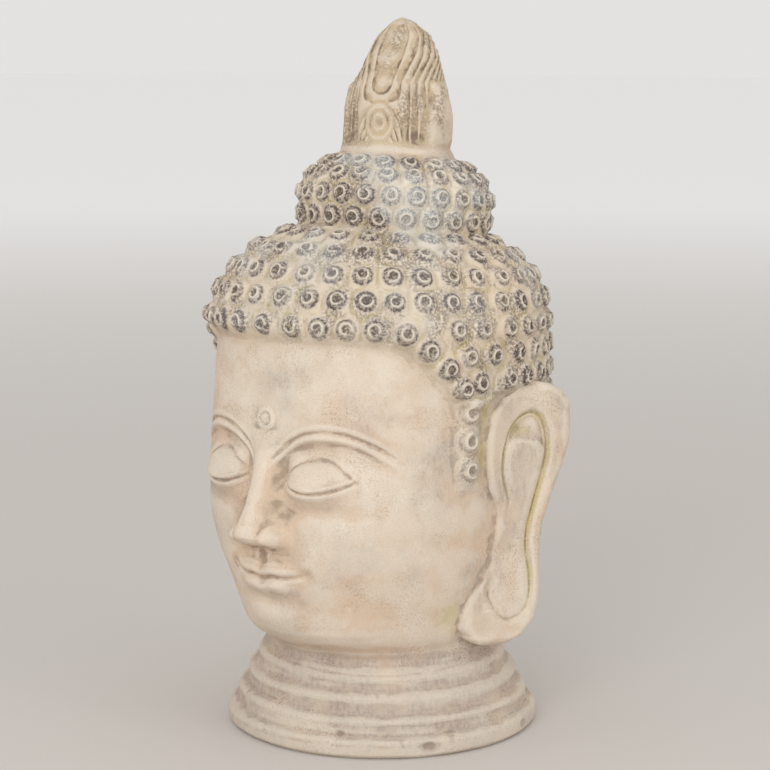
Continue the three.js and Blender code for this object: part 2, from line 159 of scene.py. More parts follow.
# Sections of the bare form from the underside up: height, half width, depth before and behind the axis,
# how far the axis has moved back, squareness of the front (2 is an ellipse), and backward lean in degrees.
SECTIONS = (
    (0, FOOT - 4, FOOT - 4, FOOT - 4, 0, 2, 0),
    (5, FOOT, FOOT, FOOT, 0, 2, 0),
    (13, FOOT - 1, FOOT - 1, FOOT - 1, 0, 2, 0),
    (17, FOOT - 7, FOOT - 7, FOOT - 7, 0, 2, 0),
    (27, FOOT - 9, FOOT - 9, FOOT - 9, 0, 2, 0),
    (32, FOOT - 16, FOOT - 16, FOOT - 16, 0, 2, 0),
    (42, FOOT - 17, FOOT - 17, FOOT - 17, 0, 2, 0),
    (47, FOOT - 23, FOOT - 23, FOOT - 23, 0, 2, 0),
    (57, NECK + 4, NECK + 4, NECK + 4, 0, 2, 0),
    (64, NECK - 1, NECK - 1, NECK - 1, 0, 2, 0),
    (74, NECK + 1, 97, NECK + 1, 0, 1.95, 0),
    (CHIN, 96, 114, 95, 0, 1.92, 0),
    (97, 99, 122, 99, 0, 1.95, 0),
    (114, 103, 126, 103, 0, 2.05, 0),
    (135, 107, 129, 108, 0, 2.2, 0),
    (160, 110, 132, 113, 0, 2.35, 0),
    (190, FACE_HALF_WIDTH, FACE_DEPTH, 119, 0, 2.5, 0),
    (220, FACE_HALF_WIDTH, FACE_DEPTH, 123, 0, 2.5, 0),
    (250, FACE_HALF_WIDTH, FACE_DEPTH - 2, 126, 0, 2.45, 0),
    (280, 112, 128, SKULL_BACK, 0, 2.4, 1),
    (310, 112, 125, SKULL_BACK, 0, 2.3, 2),
    (330, 109, 120, 123, 2, 2.2, 3),
    (347, 101, 113, 113, 5, 2.15, 3),
    (361, 89, 101, 98, 8, 2.1, 4),
    (372, 74, 84, 79, 11, 2, 4),
    (379, CROWN - 1, CROWN + 4, CROWN, 13, 2, 5),
    (386, CROWN - 2, CROWN - 2, CROWN - 1, 14, 2, 5),
    (398, CROWN, CROWN, CROWN, 15, 2, 5),
    (409, CROWN - 1, CROWN - 1, CROWN - 1, 16, 2, 5),
    (420, CROWN - 8, CROWN - 8, CROWN - 8, 17, 2, 5),
    (429, CROWN - 17, CROWN - 17, CROWN - 17, 18, 2, 5),
    (434, FLAME + 3, FLAME + 3, FLAME + 3, 18, 2, 5),
    (FLAME_BASE, FLAME + 2, FLAME + 2, FLAME + 2, 18, 2, 5),
    (446, FLAME, FLAME, FLAME, 18, 2, 5),
    (462, FLAME, FLAME, FLAME, 19, 2, 3),
    (482, FLAME - 2, FLAME - 2, FLAME - 2, 20, 2, 2),
    (502, FLAME - 9, FLAME - 10, FLAME - 5, 22, 2, 0),
    (519, FLAME - 17, FLAME - 20, FLAME - 12, 23, 2, 0),
    (532, FLAME - 28, FLAME - 30, FLAME - 24, 24, 2, 0),
    (HEIGHT - 1, 3, 3, 3, 24, 2, 0),
    (HEIGHT, 0, 0, 0, 24, 2, 0),
)

# Lower edge of the hair: height at each angle from the front, in degrees.
HAIR_EDGE = (
    (0, HAIRLINE), (46, HAIRLINE - 2), (58, 292), (67, 276), (74, 262), (79, 254), (84, 254), (89, 262),
    (106, 262), (112, 126), (180, 118),
)

# The chain of curls that edges the hair, from mid brow to the end of the lock before the ear.
EDGE_CHAIN = ((51.4, 313), (62, 299), (71, 283), (78, 262), (79, 204))

# Edges of the ear measured back from its root at each height.
EAR_FRONT = (
    (EAR_BOTTOM, -8), (77, -20), (84, -28), (95, -33), (110, -31), (127, -17), (150, -9), (173, -7),
    (198, -18), (222, -20), (243, -17), (258, -5), (267, 12), (EAR_TOP, 28),
)
EAR_BACK = (
    (EAR_BOTTOM, 4), (77, 17), (84, 28), (95, 35), (110, 38), (130, 39.5), (150, 43), (170, 48.5), (190, 56),
    (213, 65), (236, 69), (250, 69), (260, 64), (267, 54), (EAR_TOP, 34),
)

# The groove inside the ear's rim, once round from the front of the lobe over the arch and down behind:
# share of the ear's width, height, and how deep it is cut.
EAR_GROOVE = (
    (0.4, 103, 0.3), (0.31, 112, 0.35), (0.21, 122, 0.3), (0.12, 136, 0.1), (0.1, 152, 0), (0.16, 168, 0),
    (0.31, 184, 0.3), (0.29, 194, 0.8), (0.25, 206, 0.9), (0.26, 220, 0.9), (0.33, 235, 1), (0.43, 245, 1),
    (0.56, 249, 1), (0.67, 244, 1), (0.74, 230, 0.9), (0.77, 211, 0.9), (0.76, 194, 1), (0.71, 172, 1),
    (0.7, 156, 1), (0.75, 140, 1), (0.81, 127, 0.9), (0.84, 114, 0.7), (0.83, 104, 0.4), (0.75, 96, 0.35),
    (0.62, 93, 0.35), (0.5, 96, 0.3), (0.4, 103, 0.3),
)

# ---------------------------------------------------------------- curves and small shapes


def curve_through(pairs):
    """A smooth curve through pairs of place and value that never swings past a knot."""
    knots, values = np.array(pairs, float).T
    slopes = np.diff(values) / np.diff(knots)
    before, after = slopes[:-1], slopes[1:]
    same_way = before * after > 0
    total = np.where(same_way, before + after, 1)
    tangents = np.concatenate(([slopes[0]], np.where(same_way, 2 * before * after / total, 0), [slopes[-1]]))

    def at(place):
        place = np.clip(place, knots[0], knots[-1])
        i = np.clip(np.searchsorted(knots, place, "right") - 1, 0, len(knots) - 2)
        span = knots[i + 1] - knots[i]
        u = (place - knots[i]) / span
        low = values[i] + u * span * tangents[i]
        high = values[i + 1] - (1 - u) * span * tangents[i + 1]
        return low + (high - low) * u * u * (3 - 2 * u)

    return at


def ease(value, low, high):
    """0 below low, 1 above high and smooth between them."""
    t = np.clip((value - low) / (high - low), 0, 1)
    return t * t * (3 - 2 * t)


def bell(distance, width):
    """1 in the middle, falling off over a width."""
    return np.exp(-((distance / width) ** 2))


def mound(side, z, mid_side, mid_z, radius_side, radius_z):
    """A soft round swelling of height 1 at its middle."""
    return bell(side - mid_side, radius_side) * bell(z - mid_z, radius_z)


def fold(angle):
    """An angle in degrees brought to its size, 0 in front and 180 behind."""
    return np.abs((angle + 180) % 360 - 180)


# ---------------------------------------------------------------- the bare form

MEASURES = np.array(SECTIONS, float)
OUTLINE = np.concatenate(([0], np.cumsum(np.hypot(np.diff(MEASURES[:, 0]), np.diff(MEASURES[:, 1])))))
TOTAL = OUTLINE[-1]


def section_curve(column):
    """One measure of the sections along the outline, without the faint bands that knots leave on the face."""
    places = np.linspace(0, TOTAL, 3000)
    sharp = curve_through(np.column_stack((OUTLINE, column)))(places)
    spread = np.exp(-((np.arange(-90, 91) / 45) ** 2))
    soft = np.convolve(np.pad(sharp, 90, "edge"), spread / spread.sum(), "valid")
    heights = curve_through(np.column_stack((OUTLINE, MEASURES[:, 0])))(places)
    on_face = ease(heights, CHIN + 4, CHIN + 16) * (1 - ease(heights, 325, 350))
    values = sharp + (soft - sharp) * on_face
    return lambda up: np.interp(up, places, values)


height_at, half_width_at, front_at, back_at, shift_at, square_at, lean_at = map(section_curve, MEASURES.T)
hair_edge = curve_through(HAIR_EDGE)


def up_to(z):
    """The length up the side outline at which the form has a height, found by halving."""
    low, high = 0.0, TOTAL
    for _ in range(40):
        middle = (low + high) / 2
        if height_at(middle) < z:
            low = middle
        else:
            high = middle
    return low


def mean_radius(up):
    return np.maximum((2 * half_width_at(up) + front_at(up) + back_at(up)) / 4, 0.5)


def hair_share(angle, z):
    """1 on the raised bed of the hair, less on the lock before the ear and 0 off both, with soft edges."""
    edge = hair_edge(fold(angle))
    bed = ease(z, edge - 3, edge + 11) * (1 - ease(z, FLAME_BASE - 13, FLAME_BASE - 1))
    lock = ease(z, EDGE_CHAIN[-1][1] - 11, EDGE_CHAIN[-1][1] - 1) * (z < HAIRLINE)
    lock *= 1 - ease(np.abs(fold(angle) - LOCK_TURN), 1.5, 6.5)
    return np.maximum(bed, LOCK_SHARE * lock)


# ---------------------------------------------------------------- face

# The nose: height and half width at heights above its base.
NOSE_HEIGHT = curve_through((
    (-5, 0), (-1, 4), (3, 16), (7, 23), (12, 26), (19, 23.5), (35, 15.5), (52, 9), (68, 4.5), (86, 0),
))
NOSE_WIDTH = curve_through(((-5, 15), (9, 13.5), (21, 10.5), (37, 8.5), (55, 8), (73, 11), (86, 16)))
EYE_MIDDLE = EYE_SPAN + 1


def brow_line(side):
    return BROW + 9 - 25 * np.abs((side - 51) / 45) ** 2.3


def lid_line(side):
    return EYE - 6 + 8 * ((side - EYE_MIDDLE) / 27) ** 2 + 0.04 * (side - EYE_MIDDLE)


def crease_line(side):
    return EYE + 17 - 15 * ((side - EYE_MIDDLE) / 28) ** 2


def mouth_line(side):
    return MOUTH + 1.6 * bell(side - 9, 7) + 5.5 * (side / 36) ** 2


def nose_relief(side, z):
    above = z - NOSE_BASE
    ridge = NOSE_HEIGHT(above) * np.exp(-((side / (1.25 * NOSE_WIDTH(above))) ** 2.6))
    tip = 2.5 * mound(side, above, 0, 11, 9, 8)
    wing = 11 * mound(side, above, 17.5, 8, 6.5, 7.5)
    wing_line = -2.2 * mound(side, above, 11.5, 13, 2.6, 7)
    nostril = -6 * mound(side, above, 8.5, 0, 4.6, 2.8)
    return ridge + tip + wing + wing_line + nostril


def eye_relief(side, z):
    across = ease(side, 16, 25) * (1 - ease(side, 66, 76))
    above_slit = z - lid_line(side)
    socket = -7 * mound(side, z, EYE_MIDDLE + 1, EYE + 22, 33, 9)
    root = -7 * mound(side, z, 17, EYE + 5, 8, 13)
    under = -2.5 * mound(side, z, EYE_MIDDLE, EYE - 20, 30, 7)
    ball = 9.5 * mound(side, z, EYE_MIDDLE, EYE - 1, 24, 14)
    lid_edge = 1.5 * bell(above_slit - 2.2, 1.7) * across
    slit = -2.8 * bell(above_slit, 1.2) * across
    lower_lid = 1.3 * bell(above_slit + 3, 2) * across
    crease = -1.7 * bell(z - crease_line(side), 1.7) * across
    return socket + root + under + ball + lid_edge + slit + lower_lid + crease


def brow_relief(side, z):
    above = z - brow_line(side)
    across = ease(side, 5, 14) * (1 - ease(side, 82, 97))
    return (2.6 * bell(above, 2.8) - 1.3 * bell(above - 4.8, 1.6) + 1.1 * bell(above - 8, 2.4)) * across


def mouth_relief(side, z):
    above = z - mouth_line(side)
    muzzle = 5 * mound(side, z, 0, MOUTH + 2, 38, 22)
    upper_lip = 4.6 * bell(above - 4.8, 4) * (1 - ease(side, 14, 33))
    bow = 0.9 * bell(above - 9.8, 1.3) * (1 - ease(side, 10, 28))
    lower_lip = 6 * bell(above + 7, 5.4) * (1 - ease(side, 10, 30))
    line = -3 * bell(above, 1.3) * (1 - ease(side, 27, 35))
    corner = -2.2 * mound(side, z, 34, MOUTH + 5, 5, 5)
    under_lip = -3.5 * mound(side, z, 0, MOUTH - 18, 22, 5)
    philtrum = -1.5 * mound(side, z, 0, MOUTH + 16, 3, 6) + 0.8 * mound(side, z, 6, MOUTH + 16, 2.4, 6)
    return muzzle + upper_lip + bow + lower_lip + line + corner + under_lip + philtrum


def face_relief(x, z):
    """How far the face stands out before its plain oval, at a distance from the middle and a height."""
    side = np.abs(x)
    cheek = 4 * mound(side, z, 56, 172, 32, 30)
    chin = 6 * mound(side, z, 0, CHIN + 16, 22, 14)
    jaw = -2 * mound(side, z, 66, 112, 22, 22)
    from_dot = np.hypot(side, z - BROW - 20)
    dot = 2.6 * bell(from_dot, 3) + 1.4 * bell(from_dot - 6.5, 1.4)
    features = nose_relief(side, z) + eye_relief(side, z) + brow_relief(side, z) + mouth_relief(side, z)
    return cheek + chin + jaw + dot + features


# ---------------------------------------------------------------- neck and flame


def neck_relief(angle, z):
    """A thin lip on the upper edge of each fold, folds that wander, and chips out of the foot."""
    turn = np.radians(angle)
    relief = np.zeros_like(z)
    for level, phase in ((13, 0.4), (27, 1.7), (42, 3.1), (57, 4.4)):
        wander = 1.3 * np.sin(turn + phase) + 0.7 * np.sin(3 * turn + 2 * phase)
        strength = 0.75 + 0.35 * np.sin(2 * turn + 3 * phase)
        relief += 0.9 * strength * bell(z - level - wander + 1.5, 1.8)
        relief -= 0.8 * strength * bell(z - level - wander - 2, 1.5)
    for chip_angle, chip_z, size in CHIPS:
        arc = np.radians((angle - chip_angle + 180) % 360 - 180) * FOOT_RADIUS
        relief -= 0.45 * size * mound(arc, z, 0, chip_z, 1.5 * size, size)
    return relief


def flame_relief(angle, z):
    """A leaf in front of nested tongues that sweep back as they rise, and a short petal on each side."""
    rise = np.clip((z - FLAME_BASE) / (HEIGHT - FLAME_BASE), 0, 1)
    turn = fold(angle - FLAME_TURN)
    off_side = np.abs(turn - SHORT_PETAL_TURN)
    half_width = 22 + 60 * rise**3
    hollow = 3 * ease(np.minimum(turn, 180 - turn), half_width, half_width + 16)
    short_width = 10 + 9 * (1 - ease(z, PETAL_TIP - 40, PETAL_TIP - 4))
    short_height = np.where((angle - FLAME_TURN) % 360 < 180, *SHORT_PETAL_HEIGHTS)
    on_short = 1 - ease(off_side, short_width - 5, short_width + 8)
    short = short_height * on_short * (1 - ease(z, PETAL_TIP - 8, PETAL_TIP))

    sweep = 1 + 2 * np.clip((z - LEAF_BOTTOM) / 42, 0, 2) ** 1.3
    across = np.radians(turn / sweep) * FLAME_RADIUS
    below = 0.9 * np.maximum(LEAF_BOTTOM - z, 0) * (1 - ease(across, 8, 26))
    nest = np.hypot(across, below)
    share = (nest - LEAF_WIDTH) / TONGUE_WIDTH % 1
    tongues = 1.9 * (1 - share) ** 1.5 * ease(share, 0, 0.16) * ease(nest, LEAF_WIDTH, LEAF_WIDTH + 0.5)
    from_rosette = np.hypot(across, 0.75 * (z - ROSETTE_HEIGHT))
    rosette = 0.6 * bell(from_rosette - 4, 1.7) + 0.75 * bell(from_rosette - 9.5, 1.9)
    under_leaf = 1 - ease(from_rosette, 11.5, 14)
    carving = (tongues + under_leaf * (rosette - tongues)) * (1 - ease(short, 0.2, 1.5))
    fade = ease(z, FLAME_BASE + 3, FLAME_BASE + 12) * (1 - ease(rise, 0.86, 0.98))
    petals = ease(z, FLAME_BASE - 2, FLAME_BASE + 12) * (short - hollow) * (1 - rise**4)
    return petals + (carving - 0.8) * fade


# ---------------------------------------------------------------- the head's skin


def skin(angle, up, carved=True, bed=None):
    """Points of the skin at angles from the front, in degrees, and lengths up the outline.

    The share of the hair's bed is found from the hair's edge, or given where the bed is to be taken as flat.
    """
    turn = np.radians(angle)
    z = height_at(up)
    front = np.cos(turn) > 0
    power = 2 / np.where(front, square_at(up), 2)
    if bed is None:
        bed = hair_share(angle, z)
    swell = HAIR_BED * bed + np.where(carved, flame_relief(angle, z) + neck_relief(angle, z), 0)
    across = np.sign(np.sin(turn)) * np.abs(np.sin(turn)) ** power
    along = np.abs(np.cos(turn)) ** power
    x = (half_width_at(up) + swell) * across
    depth = np.where(front, -(front_at(up) + swell), back_at(up) + swell) * along
    face_share = np.where(front, ease(along, 0, 0.75), 0) * (1 - bed)
    y = shift_at(up) + depth - face_share * face_relief(x, z)
    return np.stack((x, y, z - depth * np.tan(np.radians(lean_at(up)))), -1)


def skin_frame(angle, up):
    """A point of the skin with unit directions sideways, up and out of it."""
    bed = hair_share(angle, height_at(up))
    place = skin(angle, up, False, bed)
    sideways = skin(angle + 1, up, False, bed) - skin(angle - 1, up, False, bed)
    upwards = skin(angle, up + 1.5, False, bed) - skin(angle, up - 1.5, False, bed)
    out = np.cross(sideways, upwards)
    out /= np.linalg.norm(out)
    sideways /= np.linalg.norm(sideways)
    return place, sideways, np.cross(out, sideways), out


# ---------------------------------------------------------------- curls


class Curls:
    """Where each curl sits, which way it faces, its radius, and how its spiral is turned."""

    def __init__(self):
        self.spots = []
        self.lay_edge_chain()
        for index, z in enumerate(CROWN_ROWS):
            self.lay_row(up_to(z), CROWN_CURL_SPACING, index)
        brow_row = up_to(FIRST_ROW)
        row_step = (up_to(TOP_ROW) - brow_row) / SKULL_ROWS
        for index in range(SKULL_ROWS + 1):
            self.lay_row(brow_row + index * row_step, CURL_SPACING, index)
        index = 1
        while height_at(brow_row - index * row_step) > LOWEST_CURL:
            self.lay_row(brow_row - index * row_step, CURL_SPACING, index)
            index += 1
        frames = [skin_frame(np.float64(angle), np.float64(up)) for angle, up, _, _ in self.spots]
        self.place, self.sideways, self.upwards, self.out = (np.array(part) for part in zip(*frames))
        chance = np.random.default_rng(CURL_SEED)
        count = len(self.spots)
        self.radius = CURL_RADIUS * chance.uniform(0.96, 1.04, count)
        self.turn = chance.uniform(0, 2 * math.pi, count)
        self.hand = np.where(chance.random(count) < 0.5, 1, -1)
        self.tone = chance.random(count)
        in_lock = [
            height_at(up) < HAIRLINE - 40 and abs(fold(angle) - LOCK_TURN) < 2
            for angle, up, _, _ in self.spots
        ]
        self.radius[in_lock] *= LOCK_CURL_SCALE
        self.tone[in_lock] = LOCK_CURL_TONE
        self.tree = KDTree(count)
        for index, place in enumerate(self.place):
            self.tree.insert(place, index)
        self.tree.balance()

    def add(self, angle, up, spacing):
        place = skin(np.float64(angle), np.float64(up), False)
        for _, _, other_spacing, other in self.spots:
            if np.linalg.norm(place - other) < CURL_MIN_SHARE * min(spacing, other_spacing):
                return
        self.spots.append((angle, up, spacing, place))

    def lay_edge_chain(self):
        """Curls along the hair's edge, from mid brow to the end of the lock, on both sides."""
        last = None
        for (angle_a, z_a), (angle_b, z_b) in zip(EDGE_CHAIN, EDGE_CHAIN[1:]):
            for share in np.arange(60) / 60:
                angle = angle_a + share * (angle_b - angle_a)
                up = up_to(z_a + share * (z_b - z_a))
                place = skin(angle, up, False)
                if last is not None and np.linalg.norm(place - last) < 0.93 * CURL_SPACING:
                    continue
                last = place
                self.add(angle, up, CURL_SPACING)
                self.add(-angle, up, CURL_SPACING)

    def lay_row(self, up, spacing, index):
        count = round(2 * math.pi * (mean_radius(up) + HAIR_BED) / spacing)
        for step in range(count):
            angle = (step + (index % 2) / 2) * 360 / count
            if skin(angle, up, False)[2] > hair_edge(fold(angle)) + 0.3 * spacing:
                self.add(angle, up, spacing)

    def nearest(self, points):
        """The nearest curl to each point, how far off the groove round it is, and how sideways that lies."""
        found = [[(index, distance) for _, index, distance in self.tree.find_n(point, 2)] for point in points]
        (first, first_distance), (second, second_distance) = np.array(found).transpose(1, 2, 0)
        first, second = first.astype(int), second.astype(int)
        between = self.place[second] - self.place[first]
        apart = np.linalg.norm(between, axis=1)
        to_groove = (second_distance**2 - first_distance**2) / (2 * apart)
        sideways = np.einsum("ij,ij->i", between, self.sideways[first]) / apart
        return first, to_groove, sideways**2

    def local(self, points, curl):
        """Places across a curl's face, 1 at its rim, turned and mirrored with its spiral."""
        offset = points - self.place[curl]
        u = np.einsum("ij,ij->i", offset, self.sideways[curl]) / self.radius[curl] * self.hand[curl]
        v = np.einsum("ij,ij->i", offset, self.upwards[curl]) / self.radius[curl]
        cos, sin = np.cos(self.turn[curl]), np.sin(self.turn[curl])
        return u * cos - v * sin, u * sin + v * cos


# The spiral on a curl: the radius at which it starts, how much of it is lost in a turn, its turns, the share
# of a turn over which either end fades, and the width of its ridge.
SPIRAL_START = 0.6
SPIRAL_PITCH = 0.26
SPIRAL_TURNS = 0.94
SPIRAL_END = 0.12
RIDGE_WIDTH = 0.11


def curl_relief(u, v, to_groove, sideways):
    """Height of the hair in millimetres: a button with a raised spiral and a sunk middle, on its own tile."""
    r = np.hypot(u, v)
    turn = np.arctan2(v, u) / (2 * math.pi) + 0.5
    body = 1 - ease(r, 0.4, 1.3)
    ridge = 0
    for lap in (0, 1):
        along = turn + lap
        reach = ease(along, 0, SPIRAL_END) * (1 - ease(along, SPIRAL_TURNS - SPIRAL_END, SPIRAL_TURNS))
        ridge = ridge + reach * bell(r - SPIRAL_START + SPIRAL_PITCH * along, RIDGE_WIDTH)
    trough = 0.6 * bell(r - 0.74, 0.1) + 1 - ease(r, 0.2, 0.46)
    groove = 1.2 * sideways**2 * bell(to_groove, 1.3) + 0.3 * bell(to_groove, 2)
    return CURL_HEIGHT * body + 1.1 * ridge - 0.9 * trough - groove * ease(r, 0.9, 1.15)


# ---------------------------------------------------------------- ears

ear_front = curve_through(EAR_FRONT)
ear_back = curve_through(EAR_BACK)

# How much of the way round the ear is its outer side, and the corners of its inner side: share of its width,
# and how far out from its plate.
OUTER_SHARE = 0.6
BACK_CORNERS = ((1, -6), (0.95, -15), (0.65, -52), (0.1, -34), (0, -6))


def groove_path():
    """Points close together along the ear's groove: how far back, how high and how deeply cut."""
    share, z, depth = np.array(EAR_GROOVE).T
    place = np.arange(len(z))
    fine = np.linspace(0, len(z) - 1, 12 * len(z))
    share, z, depth = (curve_through(np.column_stack((place, column)))(fine) for column in (share, z, depth))
    back = ear_front(z) + share * (ear_back(z) - ear_front(z))
    return [np.convolve(np.pad(column, 9, "wrap"), np.ones(19) / 19, "valid") for column in (back, z, depth)]


PATH_BACK, PATH_Z, PATH_DEPTH = groove_path()


def from_groove(back, z):
    """How far places on the ear are from its groove, how deep that is cut there, and which lie within it."""
    nearest = np.full_like(z, np.inf)
    depth = np.zeros_like(z)
    inside = np.zeros_like(z, bool)
    for i in range(len(PATH_Z) - 1):
        distance = np.hypot(back - PATH_BACK[i], z - PATH_Z[i])
        depth = np.where(distance < nearest, PATH_DEPTH[i], depth)
        nearest = np.minimum(nearest, distance)
        crossing = (PATH_Z[i] > z) != (PATH_Z[i + 1] > z)
        step = np.where(crossing, PATH_Z[i + 1] - PATH_Z[i], 1)
        crossed = PATH_BACK[i] + (z - PATH_Z[i]) * (PATH_BACK[i + 1] - PATH_BACK[i]) / step
        inside ^= crossing & (back < crossed)
    return nearest, depth, inside


def ear_relief(share, z):
    """Height of the ear's outer side above its plate, at a share of its width and a height."""
    width = ear_back(z) - ear_front(z)
    back = ear_front(z) + share * width
    to_edge = np.minimum(np.minimum(share, 1 - share) * width, 1.3 * np.minimum(EAR_TOP - z, z - EAR_BOTTOM))
    rounding = 10 * (1 - np.sqrt(1 - (1 - np.clip(to_edge / 10, 0, 1)) ** 2))

    nearest, depth, inside = from_groove(back, z)
    fall = np.where(inside, 2.2 * (1 - ease(nearest, 0, 9)), 1.4 * (1 - ease(nearest, 0, 5)))
    cut = depth * (fall + 2.2 * bell(nearest, 1.7))
    under_arch = ease(z + 110 * (share - 0.45) ** 2, 226, 233) * np.where(inside, ease(nearest, 0.5, 4), 0)
    hole = 2.5 * mound(share, z, *EAR_HOLE, 0.09, 4)
    return 4 - rounding - cut - 2.6 * under_arch - hole


def on_ear(back, out, z):
    """A place on the ear: back along its plate, out from it, and up."""
    upper = ease(z, 110, 170)
    flare = 4 * np.logaddexp(back * math.sin(EAR_FLARE) / 4, 7 * upper - 5) - 1
    x = EAR_ROOT[0] + 6 * (1 - upper) + flare + out * math.cos(EAR_FLARE)
    y = EAR_ROOT[1] + back * math.cos(EAR_FLARE) - out * math.sin(EAR_FLARE)
    return np.stack((x, y, z), -1)


def ear_surface(around, rise):
    """Points of the ear at shares of the way around it, from its front edge, and of its height."""
    z = EAR_BOTTOM + (EAR_TOP - EAR_BOTTOM) * rise
    corners, depths = np.array(BACK_CORNERS).T
    places = np.linspace(OUTER_SHARE, 1, len(corners))
    outer = around < OUTER_SHARE
    share = np.where(outer, around / OUTER_SHARE, np.interp(around, places, corners))
    out = np.where(outer, ear_relief(share, z), np.interp(around, places, depths))
    return on_ear(ear_front(z) + share * (ear_back(z) - ear_front(z)), out, z)


# ---------------------------------------------------------------- making meshes


def add_ball(name, segments, rings, halvings):
    """A ball halved into finer squares, with each point's share of the way around and of the height."""
    bpy.ops.object.select_all(action="DESELECT")
    bpy.ops.mesh.primitive_uv_sphere_add(segments=segments, ring_count=rings, radius=1, calc_uvs=False)
    ball = bpy.context.object
    ball.name = name
    ball.data.name = name
    apply_modifier(ball, "SUBSURF", subdivision_type="SIMPLE", levels=halvings, render_levels=halvings)
    x, y, z = read_points(ball).T
    around = np.arctan2(x, -y) / (2 * math.pi) % 1
    rise = np.arctan2(z, np.hypot(x, y)) / math.pi + 0.5
    return ball, around, rise


def read_points(piece):
    points = np.empty(3 * len(piece.data.vertices), np.float32)
    piece.data.vertices.foreach_get("co", points)
    return points.reshape(-1, 3).astype(float)


def write_points(piece, points):
    piece.data.vertices.foreach_set("co", points.astype(np.float32).ravel())
    piece.data.update()


def apply_modifier(piece, kind, **settings):
    modifier = piece.modifiers.new(kind.title(), kind)
    for key, value in settings.items():
        setattr(modifier, key, value)
    bpy.context.view_layer.objects.active = piece
    bpy.ops.object.modifier_apply(modifier=modifier.name)


# ---------------------------------------------------------------- wear and masks


def neighbour_mean(values, edges, counts):
    """Each point's mean over the points it shares an edge with, for every column of values."""
    total = np.empty_like(values)
    for column in range(values.shape[1]):
        ends = values[edges, column]
        total[:, column] = np.bincount(edges[:, 0], ends[:, 1], len(values))
        total[:, column] += np.bincount(edges[:, 1], ends[:, 0], len(values))
    return total / counts


def hollowness(piece, rounds):
    """How far each point lies below its surroundings, in millimetres, after rounds of smoothing them.

    A lone deep point among shallow ones is held back.
    """
    points = read_points(piece) / MM
    edges = np.empty(2 * len(piece.data.edges), np.int32)
    piece.data.edges.foreach_get("vertices", edges)
    edges = edges.reshape(-1, 2)
    counts = np.maximum(np.bincount(edges.ravel(), minlength=len(points)), 1)[:, None]
    normals = np.empty(3 * len(points), np.float32)
    piece.data.vertices.foreach_get("normal", normals)
    smooth = points
    for _ in range(rounds):
        smooth = neighbour_mean(smooth, edges, counts)
    depth = np.einsum("ij,ij->i", smooth - points, normals.reshape(-1, 3))[:, None]
    for _ in range(rounds // 8):
        depth = neighbour_mean(depth, edges, counts)
    lone = 0.05 + 3 * neighbour_mean(np.maximum(depth, 0), edges, counts)
    return np.minimum(depth, lone)[:, 0]


def add_point_values(piece, name, values):
    layer = piece.data.attributes.new(name, "FLOAT", "POINT")
    layer.data.foreach_set("value", values.astype(np.float32))


def lay_curl_map(piece, curls):
    """A UV map that gives each curl's own face, 1 at its rim, and a value for how deep its colour is."""
    faces = piece.data.polygons
    middles = np.empty(3 * len(faces), np.float32)
    faces.foreach_get("center", middles)
    middles = middles.reshape(-1, 3) / MM
    near = np.array([curls.tree.find(middle)[1] for middle in middles])
    offset = middles - curls.place[near]
    above = np.einsum("ij,ij->i", offset, curls.out[near])
    beside = np.linalg.norm(offset, axis=1) < 1.5 * curls.radius[near]
    on_curl = beside & (np.abs(above) < 1.4 * CURL_HEIGHT)
    corners = np.empty(len(piece.data.loops), np.int32)
    piece.data.loops.foreach_get("vertex_index", corners)
    sizes = np.empty(len(faces), np.int32)
    faces.foreach_get("loop_total", sizes)
    corner_face = np.repeat(np.arange(len(faces)), sizes)
    u, v = curls.local(read_points(piece)[corners] / MM, near[corner_face])
    away = ~on_curl[corner_face]
    u[away], v[away] = 9, 9
    layer = piece.data.uv_layers.new(name=CURL_MAP)
    layer.data.foreach_set("uv", np.column_stack((u, v)).astype(np.float32).ravel())
    tone = piece.data.attributes.new("curl_tone", "FLOAT", "FACE")
    tone.data.foreach_set("value", curls.tone[near].astype(np.float32))


# ---------------------------------------------------------------- painting


def light(red, green, blue):
    """A colour given as seen on a screen, 0 to 255, as the light it gives back."""
    shares = (value / 255 for value in (red, green, blue))
    return tuple(v / 12.92 if v <= 0.04045 else ((v + 0.055) / 1.055) ** 2.4 for v in shares) + (1,)


def opaque(colour):
    return (*colour, 1)


class Value:
    """A socket that holds a number, with the usual arithmetic."""

    def __init__(self, paint, socket):
        self.paint = paint
        self.socket = socket

    def __add__(self, other):
        return self.paint.maths("ADD", self, other)

    def __radd__(self, other):
        return self.paint.maths("ADD", other, self)

    def __sub__(self, other):
        return self.paint.maths("SUBTRACT", self, other)

    def __rsub__(self, other):
        return self.paint.maths("SUBTRACT", other, self)

    def __mul__(self, other):
        return self.paint.maths("MULTIPLY", self, other)

    def __rmul__(self, other):
        return self.paint.maths("MULTIPLY", other, self)

    def __truediv__(self, other):
        return self.paint.maths("DIVIDE", self, other)

    def __pow__(self, other):
        return self.paint.maths("POWER", self, other)


